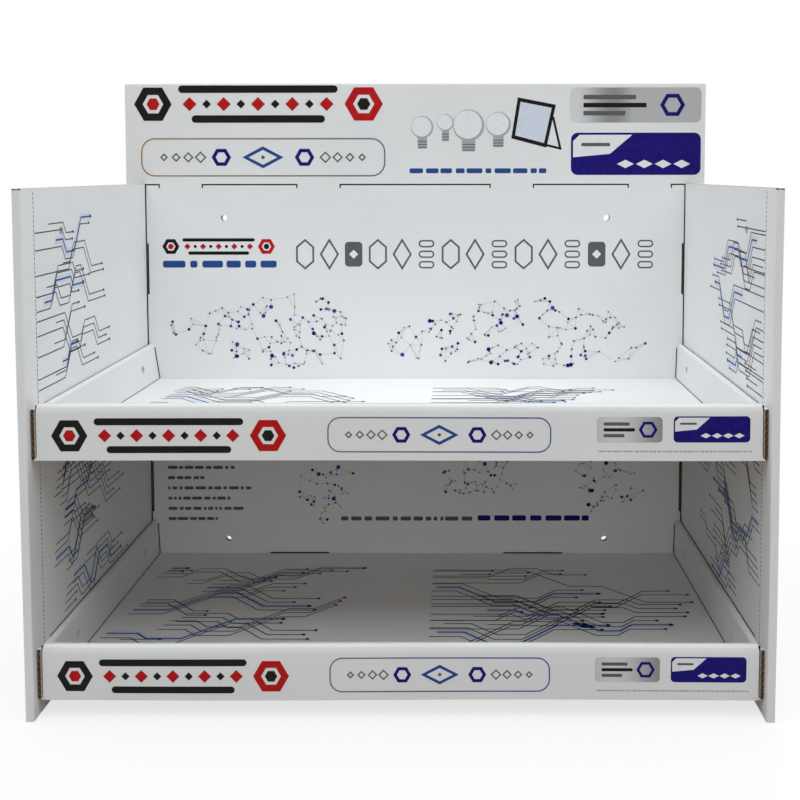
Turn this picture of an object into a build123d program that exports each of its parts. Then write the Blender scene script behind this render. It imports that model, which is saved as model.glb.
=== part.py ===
from build123d import *
import os
from math import hypot

# Cardboard display stand: a double-walled body wrap, a back panel with a folded header,
# and two roll-over trays that hang on tabs. Each piece is one folded sheet of board.
# Millimetres. X across, front at -Y, Z up, origin at the bottom centre.

# ---- Board ----
BOARD = 3.0                  # thickness of the corrugated board
BOARD_GAP = 0.3              # air between two leaves laid together, and round each tab
CREASE_R = 1.4               # outer radius of a plain crease
ROLL_FLAT = 1.1              # flat left along the top of a rolled-over edge

# ---- Body wrap ----
BODY_WIDTH = 600.0
BODY_DEPTH = 298.0
BODY_HEIGHT = 426.0
SIDE_AIR = 1.0               # air between the outer and the inner side
SCORE_SETBACK = 22.0         # perforated score behind the front edge
SCORE_WIDTH = 0.8
SCORE_DEPTH = 0.6

# ---- Back panel and header ----
SHOULDER = 13.5              # how far the header reaches past each side
HEADER_HEIGHT = 109.0
TUCK_DEPTH = 25.0            # rear flap tucked behind the back panel
TUCK_SIDE_GAP = 12.0         # how far the tuck flap stops short of the panel's side edge
SLIT_HEIGHT = 1.2            # slits along the header's fold line
SLIT_HOOK = 3.0              # short cut that turns down at each end of a slit
SLIT_BRIDGE = 45.5           # board left between two slits
CENTRE_SLIT_HALF = 82.0
SHOULDER_SLIT = 16.0         # end slit's reach inwards from the inner side

# ---- Round holes ----
HANG_HOLE_R = 3.5            # hanging holes through the back
HANG_SIDE_INSET = 85.0       # from the inner side's face
HANG_BOTTOM_INSET = 33.0
HANG_TOP_INSET = 37.0        # below the top of the sides
PEG_HOLE_R = 3.8             # holes in the inner sides and tray walls
PEG_FRONT_INSET = 73.0       # behind the front edge
PEG_REAR_INSET = 53.0        # second hole of a tray wall, from the rear face
PEG_RISE = 21.5              # above the tray's underside

# ---- Tabs of the inner sides in the back panel ----
SIDE_TAB_HEIGHT = 55.0
SIDE_TAB_INSET = 65.0        # from the body's top and bottom to the tab
SIDE_TAB_SHOW = 3.0          # slot width left open beside the tab
TAB_REACH = 2.6              # how far a tab stands out behind the back panel

# ---- Trays ----
TRAY_LEVELS = {"lower_tray": 14.0, "upper_tray": 210.0}
LIP_SETBACK = 7.0            # lip face behind the front edge
LIP_HEIGHT = 45.5
LIP_END_GAP = 0.9            # between the lip's end and the tray's side wall
WALL_HEIGHT = 41.0
CORNER_FLAP = 22.0           # depth of the flap that turns back from each lip end
REAR_TAB_X = 129.0
REAR_TAB_LENGTH = 65.0
CARRY_TAB_LENGTH = 42.0      # side tabs that carry a tray in the inner sides
CARRY_TAB_INSETS = (60.0, 90.0)    # middles, from the front edge and from the rear face
LOCK_TAB_LENGTH = 30.0       # inner wall leaf's tabs in the floor
LOCK_TAB_INSETS = (110.0, 43.0)    # middles, from the front edge and from the rear face

# ---- Derived places ----
HALF_WIDTH = BODY_WIDTH / 2
FRONT_Y = -BODY_DEPTH / 2
REAR_Y = BODY_DEPTH / 2
HALF_CLEAR = HALF_WIDTH - 2 * BOARD - SIDE_AIR             # inner face of the inner side
OUTER_LEAF_IN = HALF_WIDTH - BOARD                         # inner face of the outer side
TUCK_FRONT_Y = REAR_Y - BOARD - BOARD_GAP - BOARD          # front of the header's rear leaf
PANEL_FRONT_Y = TUCK_FRONT_Y - BOARD_GAP - BOARD           # printed face of the back panel
PANEL_HALF = OUTER_LEAF_IN - BOARD_GAP
INNER_LEAF_END_Y = PANEL_FRONT_Y - BOARD_GAP
HEADER_HALF = HALF_WIDTH + SHOULDER
HEADER_TOP = BODY_HEIGHT + HEADER_HEIGHT
TAB_END_Y = PANEL_FRONT_Y + BOARD + TAB_REACH
HANG_X = HALF_CLEAR - HANG_SIDE_INSET
HANG_HEIGHTS = (HANG_BOTTOM_INSET, BODY_HEIGHT - HANG_TOP_INSET)
TRAY_HALF = HALF_CLEAR - BOARD_GAP
LIP_Y = FRONT_Y + LIP_SETBACK
LIP_BACK_Y = LIP_Y + 2 * BOARD + BOARD_GAP
TRAY_REAR_Y = PANEL_FRONT_Y - BOARD_GAP
LIP_HALF = TRAY_HALF - BOARD - LIP_END_GAP
FLAP_TOP = min(WALL_HEIGHT, LIP_HEIGHT) - BOARD - BOARD_GAP     # above the tray's underside
ROLL_R = BOARD + BOARD_GAP / 2 - ROLL_FLAT / 2             # outer radius of a rolled-over top


def folded_section(folds, thickness=BOARD):
    """Face of a board whose middle line runs through the folds (u, v, outer radius)."""
    left, right, rounded = [], [], []
    for i, (u, v, radius) in enumerate(folds):
        before = folds[max(i - 1, 0)]
        after = folds[min(i + 1, len(folds) - 1)]
        into = unit(before, folds[i]) if i > 0 else unit(folds[i], after)
        out = unit(folds[i], after) if i < len(folds) - 1 else into
        reach = thickness / 2 / (1 + into[0] * out[0] + into[1] * out[1])
        du = -(into[1] + out[1]) * reach
        dv = (into[0] + out[0]) * reach
        left.append((u + du, v + dv))
        right.append((u - du, v - dv))
        turn = into[0] * out[1] - into[1] * out[0]
        if radius > 0:
            rounded.append((right[-1] if turn > 0 else left[-1], radius))
    face = make_face(Polyline(*left, *reversed(right), close=True))
    for (u, v), radius in rounded:
        corner = face.vertices().sort_by_distance((u, v, 0))[0]
        face = fillet(corner, radius)
    return face


def unit(start, end):
    """Direction from one fold to the next."""
    length = hypot(end[0] - start[0], end[1] - start[1])
    return (end[0] - start[0]) / length, (end[1] - start[1]) / length


def block(x_range, y_range, z_range):
    """Solid box between two limits on each axis."""
    size = [high - low for low, high in (x_range, y_range, z_range)]
    middle = [(high + low) / 2 for low, high in (x_range, y_range, z_range)]
    return Pos(*middle) * Box(*size)


def hole_along(axis, radius, centre, length):
    """Cylinder that cuts a round hole along X or Y."""
    turned = {"X": (0, 90, 0), "Y": (90, 0, 0)}[axis]
    return Pos(*centre) * Rot(*turned) * Cylinder(radius, length)


def mirrored(x_low, x_high):
    """The same X range on the left and on the right."""
    return ((-x_high, -x_low), (x_low, x_high))


def hang_holes():
    """Cutters of the four hanging holes, through back panel and rear wall."""
    depth = REAR_Y - PANEL_FRONT_Y + 2 * BOARD
    middle = (REAR_Y + PANEL_FRONT_Y) / 2
    cutters = []
    for x in (-HANG_X, HANG_X):
        for z in HANG_HEIGHTS:
            cutters.append(hole_along("Y", HANG_HOLE_R, (x, middle, z), depth))
    return cutters


def side_tab_ranges():
    """Z range of each tab of an inner side, lower first."""
    lower = (SIDE_TAB_INSET, SIDE_TAB_INSET + SIDE_TAB_HEIGHT)
    upper = (BODY_HEIGHT - lower[1], BODY_HEIGHT - lower[0])
    return lower, upper


def spans(insets, length):
    """Y ranges of two features: one set in from the front edge, one from the rear face."""
    middles = (FRONT_Y + insets[0], REAR_Y - insets[1])
    return [(middle - length / 2, middle + length / 2) for middle in middles]


def grown(limits, margin=BOARD_GAP):
    """Range widened by a clearance at both ends."""
    return limits[0] - margin, limits[1] + margin


def body_wrap():
    """Rear wall, outer sides, flat front edges and inner sides, folded from one sheet."""
    inner = HALF_CLEAR + BOARD / 2
    outer = HALF_WIDTH - BOARD / 2
    front = FRONT_Y + BOARD / 2
    rear = REAR_Y - BOARD / 2
    section = folded_section([
        (-inner, INNER_LEAF_END_Y, 0),
        (-inner, front, CREASE_R),
        (-outer, front, CREASE_R),
        (-outer, rear, CREASE_R),
        (outer, rear, CREASE_R),
        (outer, front, CREASE_R),
        (inner, front, CREASE_R),
        (inner, INNER_LEAF_END_Y, 0),
    ])
    wrap = extrude(section, BODY_HEIGHT)
    for x_range in mirrored(HALF_CLEAR, HALF_CLEAR + BOARD):
        for z_range in side_tab_ranges():
            wrap += block(x_range, (INNER_LEAF_END_Y, TAB_END_Y), z_range)
    score_y = FRONT_Y + SCORE_SETBACK
    score = (score_y - SCORE_WIDTH / 2, score_y + SCORE_WIDTH / 2)
    for x_range in mirrored(HALF_CLEAR - SCORE_DEPTH, HALF_CLEAR + SCORE_DEPTH):
        wrap -= block(x_range, score, (0, BODY_HEIGHT))
    wrap -= carry_slots()
    wrap -= inner_side_holes()
    wrap -= hang_holes()
    return wrap


def carry_slots():
    """Cutters in the inner sides for the tabs that carry the trays."""
    cutters = []
    for level in TRAY_LEVELS.values():
        for y_range in spans(CARRY_TAB_INSETS, CARRY_TAB_LENGTH):
            for x_range in mirrored(HALF_CLEAR - BOARD_GAP, OUTER_LEAF_IN - BOARD_GAP):
                cutters.append(block(x_range, grown(y_range), grown((level, level + BOARD))))
    return cutters


def inner_side_holes():
    """Cutters of the round holes in the inner sides, beside the header and the lower tray."""
    y = FRONT_Y + PEG_FRONT_INSET
    cutters = []
    for side in (-1, 1):
        for z in (TRAY_LEVELS["lower_tray"] + PEG_RISE, HANG_HEIGHTS[-1]):
            centre = (side * (HALF_CLEAR + BOARD / 2), y, z)
            cutters.append(hole_along("X", PEG_HOLE_R, centre, BOARD + BOARD_GAP))
    return cutters


def header_slits():
    """Cutters of the slits in the header's fold line, with a short hook at each end."""
    top = BODY_HEIGHT
    y_range = (PANEL_FRONT_Y - BOARD, PANEL_FRONT_Y + BOARD + BOARD_GAP / 2)
    shoulder_slit = HALF_CLEAR - SHOULDER_SLIT
    runs = [(-CENTRE_SLIT_HALF, CENTRE_SLIT_HALF)]
    runs += mirrored(CENTRE_SLIT_HALF + SLIT_BRIDGE, shoulder_slit - SLIT_BRIDGE)
    runs += mirrored(shoulder_slit, PANEL_HALF + BOARD_GAP)
    cutters = []
    for low, high in runs:
        cutters.append(block((low, high), y_range, (top - SLIT_HEIGHT, top)))
        for end, inward in ((low, 1), (high, -1)):
            if abs(end) < PANEL_HALF:
                hook = sorted((end, end + inward * SLIT_HEIGHT))
                cutters.append(block(hook, y_range, (top - SLIT_HEIGHT - SLIT_HOOK, top)))
    return cutters


def header_panel():
    """Back panel with the header above it, folded over at the top and tucked in behind."""
    front_leaf = PANEL_FRONT_Y + BOARD / 2
    rear_leaf = TUCK_FRONT_Y + BOARD / 2
    crest = HEADER_TOP - BOARD / 2
    header_section = folded_section([
        (front_leaf, BODY_HEIGHT, 0),
        (front_leaf, crest, ROLL_R),
        (rear_leaf, crest, ROLL_R),
        (rear_leaf, BODY_HEIGHT, 0),
    ])
    upright = Plane(origin=(-HEADER_HALF, 0, 0), x_dir=(0, 1, 0), z_dir=(1, 0, 0))
    panel = extrude(upright * header_section, 2 * HEADER_HALF)
    panel_y = (PANEL_FRONT_Y, PANEL_FRONT_Y + BOARD)
    panel += block((-PANEL_HALF, PANEL_HALF), panel_y, (0, BODY_HEIGHT))
    tuck_half = PANEL_HALF - TUCK_SIDE_GAP
    tuck_y = (TUCK_FRONT_Y, TUCK_FRONT_Y + BOARD)
    panel += block((-tuck_half, tuck_half), tuck_y, (BODY_HEIGHT - TUCK_DEPTH, BODY_HEIGHT))
    panel -= header_slits()
    panel -= hang_holes()
    slot_y = grown(panel_y, BOARD_GAP / 2)
    for x_range in mirrored(HALF_CLEAR - SIDE_TAB_SHOW, HALF_CLEAR + BOARD + BOARD_GAP):
        for z_range in side_tab_ranges():
            panel -= block(x_range, slot_y, grown(z_range))
    for level in TRAY_LEVELS.values():
        for x_range in rear_tab_ranges():
            panel -= block(grown(x_range), slot_y, grown((level, level + BOARD)))
    return panel


def rear_tab_ranges():
    """X range of each tray's rear tabs."""
    return mirrored(REAR_TAB_X - REAR_TAB_LENGTH / 2, REAR_TAB_X + REAR_TAB_LENGTH / 2)


def tray_shell(level):
    """Floor and rolled-over side walls: one section pushed from the lip to the back panel."""
    floor = level + BOARD / 2
    crest = level + WALL_HEIGHT - BOARD / 2
    outer = TRAY_HALF - BOARD / 2
    inner = outer - BOARD - BOARD_GAP
    foot = level + BOARD + BOARD_GAP
    rolled = folded_section([
        (-inner, foot, 0),
        (-inner, crest, ROLL_R),
        (-outer, crest, ROLL_R),
        (-outer, floor, CREASE_R),
        (outer, floor, CREASE_R),
        (outer, crest, ROLL_R),
        (inner, crest, ROLL_R),
        (inner, foot, 0),
    ])
    plain = folded_section([
        (-outer, level + WALL_HEIGHT, 0),
        (-outer, floor, CREASE_R),
        (outer, floor, CREASE_R),
        (outer, level + WALL_HEIGHT, 0),
    ])
    rolled_front = LIP_BACK_Y + BOARD_GAP
    pushed = Plane(origin=(0, TRAY_REAR_Y, 0), x_dir=(1, 0, 0), z_dir=(0, -1, 0))
    shell = extrude(pushed * rolled, TRAY_REAR_Y - rolled_front)
    front_plane = Plane(origin=(0, rolled_front, 0), x_dir=(1, 0, 0), z_dir=(0, -1, 0))
    shell += extrude(front_plane * plain, rolled_front - LIP_Y)
    return shell


def tray_lip(level):
    """Rolled-over front lip with the corner flaps that turn back from its ends."""
    floor = level + BOARD / 2
    crest = level + LIP_HEIGHT - BOARD / 2
    front_leaf = LIP_Y + BOARD / 2
    rear_leaf = LIP_BACK_Y - BOARD / 2
    section = folded_section([
        (rear_leaf + BOARD, floor, 0),
        (front_leaf, floor, CREASE_R),
        (front_leaf, crest, ROLL_R),
        (rear_leaf, crest, ROLL_R),
        (rear_leaf, level + BOARD + BOARD_GAP, 0),
    ])
    across = Plane(origin=(-LIP_HALF, 0, 0), x_dir=(0, 1, 0), z_dir=(1, 0, 0))
    lip = extrude(across * section, 2 * LIP_HALF)
    flap_z = (level + BOARD + BOARD_GAP, level + FLAP_TOP)
    behind_front_leaf = (LIP_Y + BOARD, LIP_Y + CORNER_FLAP)
    for x_range in mirrored(LIP_HALF - BOARD - BOARD_GAP, LIP_HALF + BOARD_GAP):
        lip -= block(x_range, behind_front_leaf, grown(flap_z, BOARD_GAP))
    for x_range in mirrored(LIP_HALF - BOARD, LIP_HALF):
        lip += block(x_range, (LIP_Y, LIP_Y + CORNER_FLAP), flap_z)
    return lip


def tray(level):
    """One tray, folded from one sheet, with its rear, carrying and locking tabs."""
    inner_leaf = (TRAY_HALF - 2 * BOARD - BOARD_GAP, TRAY_HALF - BOARD - BOARD_GAP)
    sheet = tray_shell(level)
    flap_room_z = (level + BOARD, level + FLAP_TOP + BOARD_GAP)
    flap_room_y = (LIP_BACK_Y, LIP_Y + CORNER_FLAP + BOARD_GAP)
    for x_range in mirrored(*grown(inner_leaf, BOARD_GAP / 2)):
        sheet -= block(x_range, flap_room_y, flap_room_z)
    sheet += tray_lip(level)
    floor_z = (level, level + BOARD)
    for x_range in rear_tab_ranges():
        sheet += block(x_range, (TRAY_REAR_Y, TAB_END_Y), floor_z)
    for y_range in spans(CARRY_TAB_INSETS, CARRY_TAB_LENGTH):
        for x_range in mirrored(TRAY_HALF - BOARD, HALF_CLEAR + BOARD + BOARD_GAP):
            sheet += block(x_range, y_range, floor_z)
    for y_range in spans(LOCK_TAB_INSETS, LOCK_TAB_LENGTH):
        for x_range in mirrored(*inner_leaf):
            sheet -= block(grown(x_range), grown(y_range), grown(floor_z, BOARD_GAP / 2))
            sheet += block(x_range, y_range, (level + BOARD_GAP, level + 2 * BOARD))
    for y in (FRONT_Y + PEG_FRONT_INSET, REAR_Y - PEG_REAR_INSET):
        for side in (-1, 1):
            centre = (side * (TRAY_HALF - BOARD), y, level + PEG_RISE)
            sheet -= hole_along("X", PEG_HOLE_R, centre, 2 * BOARD + 4 * BOARD_GAP)
    return sheet


def write(node, shape):
    """One STEP file per piece."""
    export_step(shape.solid(), f"parts/{node}.step")
    print(node, len(shape.solids()), "solid", round(shape.volume), "mm3")


def main():
    os.makedirs("parts", exist_ok=True)
    write("body_wrap", body_wrap())
    write("header_panel", header_panel())
    for node, level in TRAY_LEVELS.items():
        write(node, tray(level))


main()
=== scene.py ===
"""Cardboard display stand: the look of its folded board, raw edges, perforations and print.

Shapes are worked out in millimetres and written to the meshes in metres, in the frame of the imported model.
"""

import logging
import math
from contextlib import contextmanager
from dataclasses import dataclass, field
from enum import Enum, IntEnum
from typing import Any, Callable, Iterator, Sequence

import bmesh
import bpy
import numpy as np
from mathutils import Euler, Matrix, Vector


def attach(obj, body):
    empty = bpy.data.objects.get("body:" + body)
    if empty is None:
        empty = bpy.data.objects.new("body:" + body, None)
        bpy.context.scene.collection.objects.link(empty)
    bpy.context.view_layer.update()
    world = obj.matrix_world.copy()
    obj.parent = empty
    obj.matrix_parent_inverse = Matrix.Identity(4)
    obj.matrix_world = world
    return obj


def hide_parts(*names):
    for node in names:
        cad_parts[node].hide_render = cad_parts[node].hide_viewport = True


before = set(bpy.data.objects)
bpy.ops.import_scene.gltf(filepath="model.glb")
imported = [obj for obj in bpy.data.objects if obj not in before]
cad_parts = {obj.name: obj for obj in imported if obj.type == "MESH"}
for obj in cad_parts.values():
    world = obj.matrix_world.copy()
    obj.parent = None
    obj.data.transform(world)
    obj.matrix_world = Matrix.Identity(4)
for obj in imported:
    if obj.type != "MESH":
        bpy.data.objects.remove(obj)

LOG = logging.getLogger("display_stand")
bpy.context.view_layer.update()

MM = 0.001
BODY = "root"
GRID = 22.0               # spacing of the cuts that let board bend, the same for board and print
BOARD = 3.0               # thickness of the corrugated board
SIDE_FACE = 293.0         # inner face of an inner side
FRONT = -149.0
PANEL_FACE = 139.4        # printed face of the back panel and header
BODY_TOP = 426.0
HEADER_HALF = 313.5
HEADER_TOP = 535.0
LIP_FACE = -142.0
LIP_HALF = 288.8
TRAYS = {"lower_tray": 14.0, "upper_tray": 210.0}
TRAY_HALF = 292.7
WALL_END = 289.6          # inner limit of a tray wall's raw front end
LEAF_FACE = 286.4         # inner face of a tray wall's inner leaf
LEAF_FOOT = 3.3           # the inner leaf's foot above the tray's underside
LEAF_FALL = 35.0          # height over which the leaf's lean falls to nought
LEANS = {"lower_tray": (1.6, 0.8), "upper_tray": (5.0, 1.0)}    # how far each inner leaf's foot stands in
LIP_HEIGHT = 45.5
WALL_HEIGHT = 41.0
FOLD = -127.0             # the perforated score of each inner side, on y
HANGING_X = 208.0         # hanging holes in the back
HANGING_Z = (33.0, 389.0)
PEG_Y = -76.0             # round holes in the inner sides
PEG_Z = (35.5, 389.0)
HOLE_REACH = 4.4          # a little over the radius of the round holes
RAW_DEPTH = 1.1           # how deep the flutes show at a raw edge
FLUTE_FOOT = RAW_DEPTH + 0.2    # how deep the flutes start, below the recessed core
CREASE = 6.0              # degrees between faces that shade apart
INK_LIFT = 0.10           # print above the board
INK_STEP = 0.05           # each later ink above the last

Array = np.ndarray
Colour = tuple[float, float, float]
Span = tuple[float, float]
Shape = tuple[Array, ...]       # points, faces, and rows that go with the faces


# ---- shader maths

class Term:
    """A shader value that can be used in a Python expression."""

    def __init__(self, shop: "Shop", socket: Any) -> None:
        """Wraps one output socket.

        Args:
            shop: builder of the socket's tree.
            socket: the output socket that carries the value.
        """
        self.shop = shop
        self.socket = socket

    def _math(self, operation: str, *values: Any) -> "Term":
        """Adds one Math node."""
        return self.shop.node("ShaderNodeMath", {"operation": operation}, dict(enumerate(values)))

    def __add__(self, other: Any) -> "Term":
        """Sum."""
        return self._math("ADD", self, other)

    def __radd__(self, other: Any) -> "Term":
        """Reflected sum."""
        return self._math("ADD", other, self)

    def __sub__(self, other: Any) -> "Term":
        """Difference."""
        return self._math("SUBTRACT", self, other)

    def __rsub__(self, other: Any) -> "Term":
        """Reflected difference."""
        return self._math("SUBTRACT", other, self)

    def __mul__(self, other: Any) -> "Term":
        """Product."""
        return self._math("MULTIPLY", self, other)

    def __rmul__(self, other: Any) -> "Term":
        """Reflected product."""
        return self._math("MULTIPLY", other, self)

    def __pow__(self, other: Any) -> "Term":
        """Power."""
        return self._math("POWER", self, other)

    def sine(self) -> "Term":
        """Sine of the value in radians."""
        return self._math("SINE", self)

    def at_least(self, other: Any) -> "Term":
        """The larger of two values."""
        return self._math("MAXIMUM", self, other)

    def ramp(self, low: float, high: float) -> "Term":
        """Nought at low, one at high, straight between and held outside."""
        settings = {"clamp": True}
        return self.shop.node("ShaderNodeMapRange", settings, {0: self, 1: low, 2: high, 3: 0.0, 4: 1.0})


class Shop:
    """Builds one node tree, of a material or of a world."""

    def __init__(self, name: str, kind: str = "materials") -> None:
        """Starts an empty tree.

        Args:
            name: the name of the tree's owner.
            kind: the collection that the owner joins, materials or worlds.
        """
        self.owner = getattr(bpy.data, kind).new(name)
        self.owner.use_nodes = True
        self.tree = self.owner.node_tree
        self.tree.nodes.clear()
        self.column = 0

    def node(self, kind: str, settings: dict[str, Any], sockets: dict[Any, Any], output: Any = 0) -> Term:
        """Adds any node.

        Args:
            kind: Blender's node type.
            settings: attributes set first.
            sockets: values or Terms by input name or number.
            output: the output that the Term carries.

        Returns:
            The chosen output as a Term.
        """
        made = self.tree.nodes.new(kind)
        made.location = (self.column * 30, -(self.column % 12) * 60)
        self.column += 1
        for key, value in settings.items():
            setattr(made, key, value)
        for key, value in sockets.items():
            if isinstance(value, Term):
                self.tree.links.new(value.socket, made.inputs[key])
            else:
                made.inputs[key].default_value = value
        return Term(self, made.outputs[output] if made.outputs else None)

    def point(self) -> Term:
        """The Object coordinates as a vector, in metres."""
        return self.node("ShaderNodeTexCoord", {}, {}, "Object")

    def place(self) -> tuple[Term, ...]:
        """The three Object coordinates, in metres."""
        parted = self.node("ShaderNodeSeparateXYZ", {}, {0: self.point()})
        return tuple(Term(self, socket) for socket in parted.socket.node.outputs)

    def seen(self) -> Term:
        """One for what is seen straight, in a reflection or through glass, else nought."""
        straight = self.node("ShaderNodeLightPath", {}, {}, "Is Camera Ray")
        outputs = straight.socket.node.outputs
        reflected = Term(self, outputs["Is Glossy Ray"])
        return straight.at_least(reflected).at_least(Term(self, outputs["Is Transmission Ray"]))

    def noise(self, scale: float, detail: float = 2.0, stretch: Sequence[float] = (1, 1, 1)) -> Term:
        """Smooth noise from nought to one.

        Args:
            scale: cycles to a metre.
            detail: octaves added.
            stretch: factor on each axis before the noise.

        Returns:
            The noise value.
        """
        point = self.node("ShaderNodeMapping", {}, {"Vector": self.point(), "Scale": tuple(stretch)})
        return self.node("ShaderNodeTexNoise", {}, {"Vector": point, "Scale": scale, "Detail": detail})

    def blend(self, factor: Any, first: Any, second: Any) -> Term:
        """Mixes two colours.

        Args:
            factor: share of the second colour.
            first: colour at nought.
            second: colour at one.

        Returns:
            The mixed colour.
        """
        ends = {0: factor, 6: self._rgba(first), 7: self._rgba(second)}
        return self.node("ShaderNodeMix", {"data_type": "RGBA"}, ends, 2)

    @staticmethod
    def _rgba(value: Any) -> Any:
        """Adds alpha to a plain colour."""
        return value if isinstance(value, Term) else (*value, 1.0)

    def bump(self, height: Term, depth: float) -> Term:
        """Normal from a height.

        Args:
            height: height from nought to one.
            depth: what one stands for, in metres.

        Returns:
            The bumped normal.
        """
        return self.node("ShaderNodeBump", {}, {"Strength": 1.0, "Distance": depth, "Height": height})

    def finish(self, **sockets: Any) -> bpy.types.Material:
        """Adds the surface shader and the output.

        Args:
            **sockets: Principled sockets, with underscores for spaces.

        Returns:
            The finished material.
        """
        values = {key.replace("_", " "): value for key, value in sockets.items()}
        values.setdefault("Specular IOR Level", 0.28)
        surface = self.node("ShaderNodeBsdfPrincipled", {}, values)
        self.node("ShaderNodeOutputMaterial", {}, {"Surface": surface})
        return self.owner


# ---- finishes

@dataclass(frozen=True)
class CoatedLiner:
    """White coated liner over flutes: faint mottle, handling marks, paper grain and washboarding."""

    name: str
    colour: Colour = (0.855, 0.865, 0.87)
    soiled: Colour = (0.74, 0.745, 0.74)
    flute_axis: int = 0       # axis across the flutes
    flute_pitch: float = 6.0
    roughness: float = 0.42

    def material(self) -> bpy.types.Material:
        """Makes the material."""
        shop = Shop(self.name)
        cloud = shop.noise(9.0, 3.0)
        grain = shop.noise(900.0, 2.0)
        smudge = shop.noise(16.0, 4.0, (1.0, 1.0, 0.5)).ramp(0.62, 0.78)
        across = shop.place()[self.flute_axis]
        washboard = (across * (2 * math.pi / (self.flute_pitch * MM))).sine() * 0.5 + 0.5
        shade = shop.blend(cloud.ramp(0.3, 0.7) * 0.22, self.colour, self.soiled)
        shade = shop.blend(smudge * 0.16, shade, self.soiled)
        height = washboard * 0.55 + grain * 0.25 + cloud * 0.6
        rough = self.roughness + cloud * 0.12 + smudge * 0.1
        return shop.finish(Base_Color=shade, Roughness=rough, Normal=shop.bump(height, 0.00006))


@dataclass(frozen=True)
class KraftPaper:
    """Uncoated brown paper of the medium, the liner's reverse and the cut edges: fibres and shade."""

    name: str
    colour: Colour = (0.34, 0.215, 0.125)
    dark: Colour = (0.19, 0.115, 0.065)

    def material(self) -> bpy.types.Material:
        """Makes the material."""
        shop = Shop(self.name)
        fibre = shop.noise(1400.0, 4.0, (1.0, 0.35, 1.0))
        patch = shop.noise(60.0, 3.0)
        shade = shop.blend((fibre * 0.6 + patch * 0.5).ramp(0.3, 0.8), self.dark, self.colour)
        rough = 0.86 + fibre * 0.1
        return shop.finish(Base_Color=shade, Roughness=rough, Normal=shop.bump(fibre, 0.00012))


class Sweep(Enum):
    """How an ink's second colour comes in."""

    NONE = "none"
    ALONG_X = "along x"
    BANDS = "bands"


@dataclass(frozen=True)
class Ink:
    """A printed colour on coated liner, with slight density change and the board's own gloss."""

    name: str
    colour: Colour
    second: Colour = (0.0, 0.0, 0.0)
    sweep: Sweep = Sweep.NONE
    start: float = 0.0        # millimetres on x
    stop: float = 1.0
    roughness: float = 0.38

    def material(self) -> bpy.types.Material:
        """Makes the material: one colour with paler patches, or two colours swept over x."""
        shop = Shop(self.name)
        density = shop.noise(220.0, 3.0)
        if self.sweep is Sweep.NONE:
            paler = tuple(min(1.0, part * 1.12 + 0.012) for part in self.colour)
            shade = shop.blend(density.ramp(0.35, 0.75) * 0.5, self.colour, paler)
        else:
            along = shop.place()[0].ramp(self.start * MM, self.stop * MM)
            wave = (along * (2 * math.pi)).sine() * 0.5 + 0.5 if self.sweep is Sweep.BANDS else along
            shade = shop.blend(wave, self.colour, self.second)
        return shop.finish(
            Base_Color=shade,
            Roughness=self.roughness + density * 0.12,
            Normal=shop.bump(density, 0.00003),
            Specular_IOR_Level=0.1,
        )


class Tone(IntEnum):
    """Inks in the order of a print's material slots."""

    BLACK, RED, NAVY, BLUE, GREY, PALE_BLUE, SILVER, GOLD_TO_BLUE, WHITE, SOFT_GREY, TRACK = range(11)


PLAIN_INKS = {
    Tone.BLACK: (0.006, 0.0055, 0.005),
    Tone.RED: (0.50, 0.008, 0.008),
    Tone.NAVY: (0.009, 0.004, 0.165),
    Tone.BLUE: (0.02, 0.07, 0.27),
    Tone.GREY: (0.115, 0.118, 0.125),
    Tone.PALE_BLUE: (0.68, 0.74, 0.85),
    Tone.WHITE: (0.84, 0.85, 0.86),
    Tone.SOFT_GREY: (0.42, 0.43, 0.44),
    Tone.TRACK: (0.034, 0.038, 0.055),
}
SWEPT_INKS = {
    Tone.SILVER: ((0.30, 0.30, 0.31), (0.72, 0.73, 0.74), Sweep.BANDS, 150.0, 235.0, 0.3),
    Tone.GOLD_TO_BLUE: ((0.36, 0.24, 0.07), (0.02, 0.10, 0.30), Sweep.ALONG_X, -250.0, 90.0),
}


def make_inks() -> list[bpy.types.Material]:
    """Every ink's material, in Tone order."""
    looks = {**{tone: (colour,) for tone, colour in PLAIN_INKS.items()}, **SWEPT_INKS}
    return [Ink("ink_" + tone.name.lower(), *looks[tone]).material() for tone in Tone]


# ---- bending of the board

def coordinates(x: Any, y: Any, z: Any) -> Array:
    """Rows of (x, y, z), where a single number holds for every row."""
    return np.stack(np.broadcast_arrays(x, y, z), 1).astype(float)


def between(values: Array, low: float, high: float) -> Array:
    """Which values lie between two limits."""
    return (values > low) & (values < high)


def near(values: Array, place: float, reach: float) -> Array:
    """Which values lie less than a reach from a place."""
    return np.abs(values - place) < reach


def smooth_step(values: Array, low: float, high: float) -> Array:
    """Nought below low, one above high, 3t^2 - 2t^3 between."""
    t = np.clip((values - low) / (high - low), 0.0, 1.0)
    return t * t * (3.0 - 2.0 * t)


def side_bow(points: Array) -> Array:
    """Sides lean in by a slow wave over depth and height.

    The shift is towards x = 0 by 0.35 + 0.35 sin(y/61 + sign x) sin(z/67) mm, faded in from |x| 262 to 288.
    """
    x, y, z = points.T
    faded = smooth_step(np.abs(x), 262.0, 288.0)
    depth = 0.35 + 0.35 * np.sin(y / 61.0 + np.sign(x)) * np.sin(z / 67.0)
    return coordinates(-np.sign(x) * depth * faded, 0.0, 0.0)


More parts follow.
